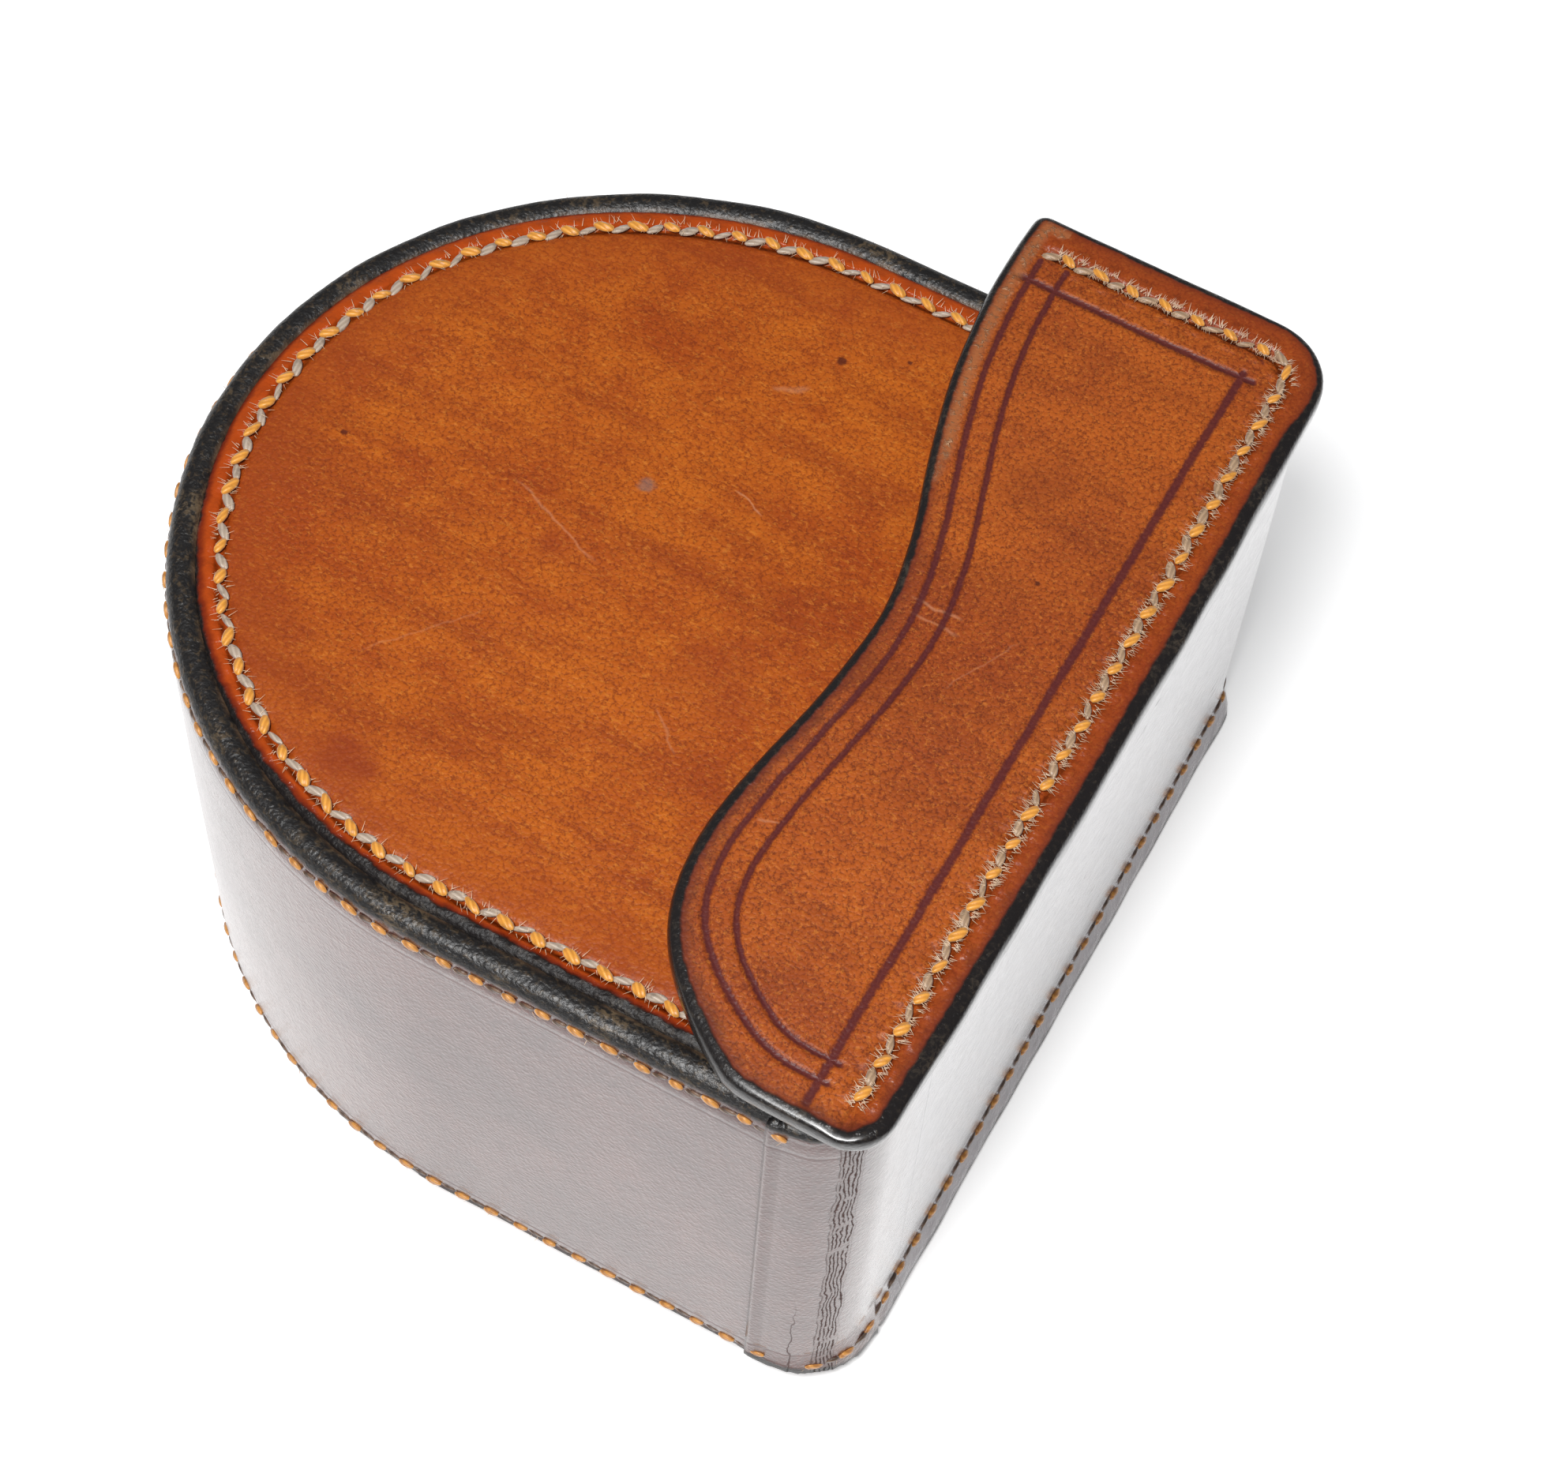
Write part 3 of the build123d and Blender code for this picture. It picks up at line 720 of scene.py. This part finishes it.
hide = mix(tree, times(tree, chafe, 0.85), hide, pale)
tree.links.new(hide, shader.inputs["Base Color"])
rough = between(tree, aside, -0.4, 1.0, 0.27, 0.44)
rough = layered(tree, grain["Clouds"], 0.08, rough)
rough = sum_of(tree, "SUBTRACT", rough, times(tree, dyed, 0.14))
rough = layered(tree, lines, -0.05, rough)
rough = layered(tree, chafe, 0.35, rough)
tree.links.new(rough, shader.inputs["Roughness"])
gloss = times(tree, between(tree, rim, 5.0, 1.0), low_half)
gloss = most(tree, times(tree, gloss, 0.7), times(tree, dyed, 0.7))
tree.links.new(sum_of(tree, "ADD", gloss, 0.06), shader.inputs["Coat Weight"])
shader.inputs["IOR"].default_value = 1.33
shader.inputs["Coat Roughness"].default_value = 0.22
beat = stitch_beat(tree, along, -0.5)
calm = times(tree, skin, between(tree, split[0], 16.5, 18.5))
pillow = times(tree, bump_line(tree, aside, -1.25, 1.1), beat)
pucker = times(tree, bump_line(tree, aside, 1.3, 1.1), beat)
furrow = bump_line(tree, aside, 0.0, 0.8)
height = built_up(
    tree, grain["Relief"], (times(tree, pillow, calm), 0.3), (times(tree, pucker, calm), 0.26),
    (times(tree, furrow, calm), -0.3), (lines, -0.26), (times(tree, edge["Relief"], dyed), 0.7),
    (times(tree, edge["Fibres"], chafe), 0.2))
relief_on(tree, shader, height)

wall_inset = 2.8


def cap_path(inset):
    """Points along the cap's wall at an inset from its outside, from the hinge side to the far
    corner and back along the cup's far side, with the running length at each."""
    line_x, line_y = cap_high.x - inset, cap_high.y - inset
    radius = max(corner_radius - inset, 0.5)
    turn = np.linspace(0, math.pi / 2, 30)
    up_y = np.linspace(cheek_low.y, line_y - radius, 200)[:-1]
    back_x = np.linspace(line_x - radius, cap_low.x + 0.1, 80)[1:]
    x = np.concatenate([up_y * 0 + line_x, line_x - radius + radius * np.cos(turn), back_x])
    y = np.concatenate([up_y, line_y - radius + radius * np.sin(turn), back_x * 0 + line_y])
    return x, y, running_length(x, y)


def nearest(x, y, path_x, path_y):
    """For each point, the number of the nearest place on a path and how far away it is."""
    tree_of = kdtree.KDTree(len(path_x))
    for rank, (px, py) in enumerate(zip(path_x, path_y)):
        tree_of.insert((px, py, 0), rank)
    tree_of.balance()
    found = [tree_of.find((px, py, 0)) for px, py in zip(x, y)]
    return np.array([hit[1] for hit in found]), np.array([hit[2] for hit in found])


for node, upward, voxel in (("lid_top_cheek", 1, 0.4), ("lid_bottom_cheek", -1, 0.45)):
    piece = leather(node.replace("lid", "cap") + "_leather", [node], voxel)
    place_mm, normal = places(piece)
    low, high = [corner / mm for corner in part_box(node)]
    x, y = place_mm[:, 0], place_mm[:, 1]
    upright = np.hypot(normal[:, 0], normal[:, 1]) > 0.93
    corner = (np.abs(y - high.y) < 1.3) & (x > low.x + 1.2)
    long_side = (x > high.x - 1.6) & (normal[:, 0] > 0.6)
    wavy = upright & ~corner & ~long_side & (x < high.x - 3)
    rim_mm, wave_mm = [nearest(x, y, x[chosen], y[chosen])[1] for chosen in (upright, wavy)]
    ends = np.empty(len(piece.data.edges) * 2, np.int32)
    piece.data.edges.foreach_get("vertices", ends)
    ends = ends.reshape(-1, 2)
    ties = np.bincount(ends.ravel(), minlength=len(x))
    for turn in range(50):
        summed = np.bincount(ends[:, 0], wave_mm[ends[:, 1]], len(x))
        summed += np.bincount(ends[:, 1], wave_mm[ends[:, 0]], len(x))
        wave_mm = np.where(wave_mm > 1.5, summed / ties, wave_mm)
    foot = np.clip((x - 22) / 14, 0, 1) * np.clip((-38 - y) / 6, 0, 1)
    path_x, path_y, run = cap_path(wall_inset)
    near, apart = nearest(x, y, path_x, path_y)
    way_x, way_y = np.gradient(path_x), np.gradient(path_y)
    beyond = (x - path_x[near]) * way_y[near] - (y - path_y[near]) * way_x[near] > 0
    skin_up = normal[:, 2] * upward
    swell = waves(place_mm, 20, 31) * 0.2 + waves(place_mm, 7, 37) * 0.06
    if upward < 0:
        # the lower cheek is pared to the curve of the hinge
        from_hinge = place_mm[:, :2] - np.array(hinge_centre)
        around, pared_radius = np.linalg.norm(from_hinge, axis=1), hinge_radius - 1.0
        pared = (from_hinge[:, 0] > 0) & (from_hinge[:, 1] < 0) & (around > pared_radius)
        inward = (pared_radius / around[pared])[:, None]
        place_mm[pared, :2] = np.array(hinge_centre) + from_hinge[pared] * inward
        # and everywhere it ends under the curl of the wall
        limit_x = cap_high.x + 0.6 + 0.15 * waves(place_mm, 9, 43)
        place_mm[:, 0] = np.minimum(place_mm[:, 0], limit_x)
        place_mm[:, 1] = np.minimum(place_mm[:, 1], cap_high.y + 0.6)
    sink = -0.25 * np.exp(-((apart / 1.5) ** 2)) * (x > cap_low.x - 1)
    place_mm[:, 2] += upward * np.clip(skin_up, 0, 1) * (swell - 0.16 + sink)
    # the overhanging edge was finished together with the wall below, and hangs a little lower
    hang = np.clip(np.maximum(x - cap_high.x - 0.1, y - cap_high.y - 0.1) / 0.7, 0, 1) * (y > -49)
    under = np.clip((low.z + 2.0 - place_mm[:, 2]) / 2, 0, 1) if upward > 0 else 0
    place_mm[:, 2] -= hang * under * 1.2
    edges = (1 - np.clip(rim_mm / 1.5, 0, 1)) * waves(place_mm, 6, 41) * 0.12
    place_mm[:, :2] += normal[:, :2] * (edges - 0.1)[:, None]
    move(piece, place_mm)
    chafed = np.clip((y + 8) / 14, 0, 1) * (wave_mm < 4) * np.clip((23 - x) / 4, 0, 1)
    mark(piece, rim=rim_mm, wave=wave_mm - 3.3 - 1.4 * foot, second=wave_mm - 6.4 - 0.7 * foot,
         along=run[near], aside=np.where(beyond, -apart, apart), skin=np.clip(skin_up, 0, 1), worn=chafed,
         inked=np.full(len(x), 1.0 if upward > 0 else 0.25))
    piece.data.materials.append(cheek_finish)
    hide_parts(node)
    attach(piece, "cap")


# ---------------------------------------------------------------------------------------------
# The seams. Heavy waxed linen thread, saddle-stitched by hand: each golden stitch lies slanted in
# the furrow, and a greyed, frayed length dips between it and the next one.
# ---------------------------------------------------------------------------------------------
cap_stitch_pitch = 3.9


def thread(name, light, dark):
    made, tree, shader, place = finish(name)
    ply, soil = measure(tree, "ply"), cloud(tree, place, 900, 3.0, 0.6)
    twist = layered(tree, sum_of(tree, "SINE", ply), 0.5, 0.5)
    # the plies are painted lighter on their crowns and darker between them: painted highlight and painted
    # shade of the twist, over its relief
    wax = mix(tree, between(tree, twist, 0.1, 0.8), dark, light)
    wax = mix(tree, between(tree, soil, 0.5, 0.72, 0.0, 0.7), wax, tuple(0.6 * part for part in dark))
    tree.links.new(wax, shader.inputs["Base Color"])
    shader.inputs["Roughness"].default_value = 0.42
    shader.inputs["Sheen Weight"].default_value = 0.3
    relief_on(tree, shader, layered(tree, twist, 0.06, times(tree, soil, 0.1)))
    return made


# each thread gets a lit and a shaded colour, for the painted highlight and shade on its plies
gold_thread = thread("golden waxed linen", (0.77, 0.34, 0.05), (0.62, 0.25, 0.03))
grey_thread = thread("greyed waxed linen", (0.46, 0.37, 0.29), (0.37, 0.285, 0.215))
# a darker copy of the golden thread, used for the rows on the walls
brown_thread = thread("darker waxed linen", (0.60, 0.27, 0.06), (0.40, 0.16, 0.035))
frayed_thread = thread("frayed waxed linen", (0.42, 0.28, 0.17), (0.31, 0.20, 0.12))
# the lengths between the stitches of the wall rows are brown thread painted near black: painted shade of the
# slits they dip into
sunk_thread_in_shade = thread("sunk waxed linen in painted shade", (0.15, 0.085, 0.05), (0.07, 0.04, 0.025))
# a row's shade is the place of its stitch in this list; the length between two is the next one
thread_finishes = (gold_thread, grey_thread, brown_thread, sunk_thread_in_shade, gold_thread, frayed_thread)
fray, tree, shader, place = finish("frayed fibre")
flax = mix(tree, cloud(tree, place, 500), (0.50, 0.32, 0.18), (0.80, 0.63, 0.47))
tree.links.new(flax, shader.inputs["Base Color"])
shader.inputs["Roughness"].default_value = 0.6


def lay_stitch(shape, ply, middle, long, across, out, size, finish_number):
    """One length of thread: a pointed bead lying along `long`, in mm."""
    frame_of = Matrix((long, across, out)).transposed().to_4x4()
    spread = Matrix.Diagonal((size[0] / 2, size[1] / 2, size[2] / 2, 1))
    whole = Matrix.Translation(middle) @ frame_of @ spread @ Matrix.Rotation(math.pi / 2, 4, "Y")
    made = bmesh.ops.create_uvsphere(shape, u_segments=8, v_segments=6, radius=1, matrix=whole)
    for vert in made["verts"]:
        off = vert.co - middle
        vert[ply] = off.dot(across) * 2 * math.pi / 0.6 + off.dot(long) * 4.2
    for face in {face for vert in made["verts"] for face in vert.link_faces}:
        face.material_index = finish_number
        face.smooth = True


def lay_fray(shape, root, way, out, length, thick):
    """One loose fibre: a thin three-sided spike."""
    way = (way + out * 0.35).normalized()
    side = way.cross(out).normalized()
    frame_of = Matrix((side, way.cross(side), way)).transposed().to_4x4()
    bmesh.ops.create_cone(
        shape, cap_ends=False, segments=3, radius1=thick / 2, radius2=thick / 7, depth=length,
        matrix=Matrix.Translation(root + way * length / 2) @ frame_of)


def sew(name, rows, body, node, seed):
    """The thread of a seam's rows. Each stitch has its middle, its directions along, across and
    out of the leather, its lean, its plumpness and how many loose fibres it has."""
    chance = random.Random(seed)
    shape, loose = bmesh.new(), bmesh.new()
    ply = shape.verts.layers.float.new("ply")
    tuft_mesh = bpy.data.meshes.new("tuft")
    for row in rows:
        for middle, long, across, out, lean, plump, fuzzy in row["stitches"]:
            slant = math.radians(chance.uniform(16, 30)) * lean
            gold = (long * math.cos(slant) + across * math.sin(slant)).normalized()
            size = (2.3 * plump * chance.uniform(0.85, 1.12),
                    1.2 * plump * chance.uniform(0.82, 1.14), 0.8 * plump)
            centre = middle + out * (row["lift"] + chance.uniform(-0.04, 0.06))
            centre = centre + across * chance.uniform(-0.1, 0.1)
            lay_stitch(shape, ply, centre, gold, out.cross(gold), out, size, row["shade"])
            turn = -math.radians(chance.uniform(12, 30)) * lean
            link = (long * math.cos(turn) + across * math.sin(turn)).normalized()
            where = middle + long * row["pitch"] / 2 + out * (row["lift"] - 0.16) - across * 0.25
            size = (2.4 * plump * chance.uniform(0.85, 1.1), plump * chance.uniform(0.65, 1.2), 0.55)
            lay_stitch(shape, ply, where, link, out.cross(link), out, size, row["shade"] + 1)
            tuft = bmesh.new()
            for side, amount in ((1, fuzzy), (-1, fuzzy * row["inner_fuzz"])):
                for fibre in range(int(amount * chance.uniform(0.5, 1.4))):
                    foot = centre + long * chance.uniform(-1.8, 1.6)
                    foot = foot + across * side * chance.uniform(0.1, 0.6)
                    way = across * side + long * chance.uniform(-1.0, 0.6)
                    lay_fray(tuft, foot, way, out, chance.uniform(0.3, 1.1), chance.uniform(0.05, 0.09))
            tuft.to_mesh(tuft_mesh)
            tuft.free()
            loose.from_mesh(tuft_mesh)
    for made, label, finishes in ((shape, "thread", thread_finishes), (loose, "fray", (fray,))):
        mesh = bpy.data.meshes.new(f"{name}_{label}")
        bmesh.ops.transform(made, matrix=Matrix.Scale(mm, 4), verts=made.verts)
        made.to_mesh(mesh)
        made.free()
        for one in finishes:
            mesh.materials.append(one)
        piece = bpy.data.objects.new(mesh.name, mesh)
        scene.collection.objects.link(piece)
        if label == "thread":
            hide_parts(node)
        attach(piece, body)


def on_skin(piece, place_mm):
    """The nearest place on a piece's surface."""
    return piece.closest_point_on_mesh(place_mm * mm)[1] / mm


def stations(path, start, end, pitch):
    """Evenly spaced places with their directions along a path."""
    x, y, run = path
    made = []
    for distance in np.arange(start, end, pitch):
        here = Vector((np.interp(distance, run, x), np.interp(distance, run, y), 0))
        back = Vector((np.interp(distance - 0.5, run, x), np.interp(distance - 0.5, run, y), 0))
        ahead = Vector((np.interp(distance + 0.5, run, x), np.interp(distance + 0.5, run, y), 0))
        made.append((here, (ahead - back).normalized()))
    return made


def row_heights(face, seam, upward):
    """How high the two rows of a seam lie, on the face and on the wall."""
    side = 1 if upward > 0 else 0
    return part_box(face)[side].z / mm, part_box(seam)[1 - side].z / mm + 0.6 * upward


upright = Vector((0, 0, 1))
for node, face, upward in (("body_top_stitching", "body_top_face", 1),
                           ("body_bottom_stitching", "body_bottom_face", -1)):
    face_z, wall_z = row_heights(face, node, upward)
    out = upright * upward
    face_row, wall_row = [], []
    for here, long in stations((seam_x, seam_y, seam_run), 1.0, seam_run[-1] - 3.5, stitch_pitch):
        outward = Vector((-long.y, long.x, 0))
        face_row.append((here + upright * face_z, long, outward, out, -upward, 1.0, 10))
    outer = cup_path(0.0)
    for here, long in stations(outer, 1.0, outer[2][-1] - 3.5, stitch_pitch):
        outward = Vector((-long.y, long.x, 0))
        wall_row.append((here + upright * wall_z, long, out, outward, 0.6, 0.85, 2))
    sew(node.replace("body", "cup"), (
        {"stitches": face_row, "lift": -0.12, "pitch": stitch_pitch, "inner_fuzz": 0.6, "shade": 0},
        {"stitches": wall_row, "lift": -0.18, "pitch": stitch_pitch, "inner_fuzz": 0.4, "shade": 2},
    ), "cup", node, 5 + upward)

for node, face, upward in (("lid_top_stitching", "lid_top_cheek", 1),
                           ("lid_bottom_stitching", "lid_bottom_cheek", -1)):
    face_z, wall_z = row_heights(face, node, upward)
    out = upright * upward
    face_row, wall_row = [], []
    inner_path = cap_path(wall_inset)
    flat_x, flat_y = cap_path(0.0)[:2]
    bend = np.linspace(math.radians(-56), 0, 30)
    kept = flat_y > hinge_centre[1] + 0.2
    outer_x = np.concatenate([hinge_centre[0] + hinge_radius * np.cos(bend), flat_x[kept]])
    outer_y = np.concatenate([hinge_centre[1] + hinge_radius * np.sin(bend), flat_y[kept]])
    outer_path = (outer_x, outer_y, running_length(outer_x, outer_y))
    for here, long in stations(inner_path, 5.6 if upward > 0 else 9.0, inner_path[2][-1], cap_stitch_pitch):
        outward = Vector((long.y, -long.x, 0))
        face_row.append((here + upright * face_z, long, outward, out, upward, 0.95, 30))
    wall_start, wall_end = 14.0 if upward > 0 else 1.5, outer_path[2][-1] - 3.0
    for here, long in stations(outer_path, wall_start, wall_end, cap_stitch_pitch):
        outward = Vector((long.y, -long.x, 0))
        row_z = wall_z if upward > 0 else wall_z - 0.75
        here = on_skin(cap_strip, here + upright * row_z + outward * 0.5)
        wall_row.append((here, long, out, outward, 0.6, 0.95, 3))
    sew(node.replace("lid", "cap"), (
        {"stitches": face_row, "lift": -0.12 if upward > 0 else -0.5, "pitch": cap_stitch_pitch,
         "inner_fuzz": 1.1, "shade": 4},
        {"stitches": wall_row, "lift": -0.06, "pitch": cap_stitch_pitch, "inner_fuzz": 0.5, "shade": 2},
    ), "cap", node, 11 + upward)


# ---------------------------------------------------------------------------------------------
# The studio: a plain white sweep, soft light from over the viewer's shoulder, and the camera.
# ---------------------------------------------------------------------------------------------
scene.view_settings.view_transform = "Standard"
floor_shape = bmesh.new()
bmesh.ops.create_grid(floor_shape, x_segments=1, y_segments=1, size=3.0)
floor_mesh = bpy.data.meshes.new("floor")
floor_shape.to_mesh(floor_mesh)
floor_shape.free()
floor_mesh.transform(Matrix.Translation((0, 0, -0.2 * mm)))
floor = bpy.data.objects.new("floor", floor_mesh)
scene.collection.objects.link(floor)
floor_finish, tree, shader, place = finish("white paper")
shader.inputs["Base Color"].default_value = (0.88, 0.88, 0.88, 1)
shader.inputs["Roughness"].default_value = 0.9
shader.inputs["Emission Color"].default_value = (1, 1, 1, 1)
shader.inputs["Emission Strength"].default_value = 0.4
floor_mesh.materials.append(floor_finish)
floor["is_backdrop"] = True

world = bpy.data.worlds.new("soft room")
world.use_nodes = True
world.node_tree.nodes["Background"].inputs["Color"].default_value = (0.95, 0.97, 1.0, 1)
world.node_tree.nodes["Background"].inputs["Strength"].default_value = 0.14
scene.world = world


def soft_light(name, place, toward, size, power):
    lamp = bpy.data.lights.new(name, "AREA")
    lamp.shape = "DISK"
    lamp.size = size
    lamp.energy = power
    made = bpy.data.objects.new(name, lamp)
    scene.collection.objects.link(made)
    made.location = place
    made.rotation_euler = (Vector(toward) - Vector(place)).to_track_quat("-Z", "Y").to_euler()


soft_light("key", (0.04, -0.27, 0.62), (0, 0, 0.03), 0.15, 3.3)
soft_light("top", (0.0, -0.30, 0.95), (0, 0, 0.03), 0.4, 3.2)

eye = Vector((97.81, -185.55, 381.58)) * mm
forward = Vector((-0.2093, 0.4615, -0.8621)).normalized()
up = Vector((-0.4328, 0.7468, 0.5049))
right = forward.cross(up).normalized()
up = right.cross(forward)
lens = bpy.data.cameras.new("camera")
lens.sensor_width = 36.0
lens.lens = 82.92
lens.clip_start, lens.clip_end = 0.01, 20.0
camera = bpy.data.objects.new("camera", lens)
scene.collection.objects.link(camera)
turn = Matrix((right, up, -forward)).transposed().to_4x4()
camera.matrix_world = Matrix.Translation(eye) @ turn
scene.camera = camera

low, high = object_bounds()
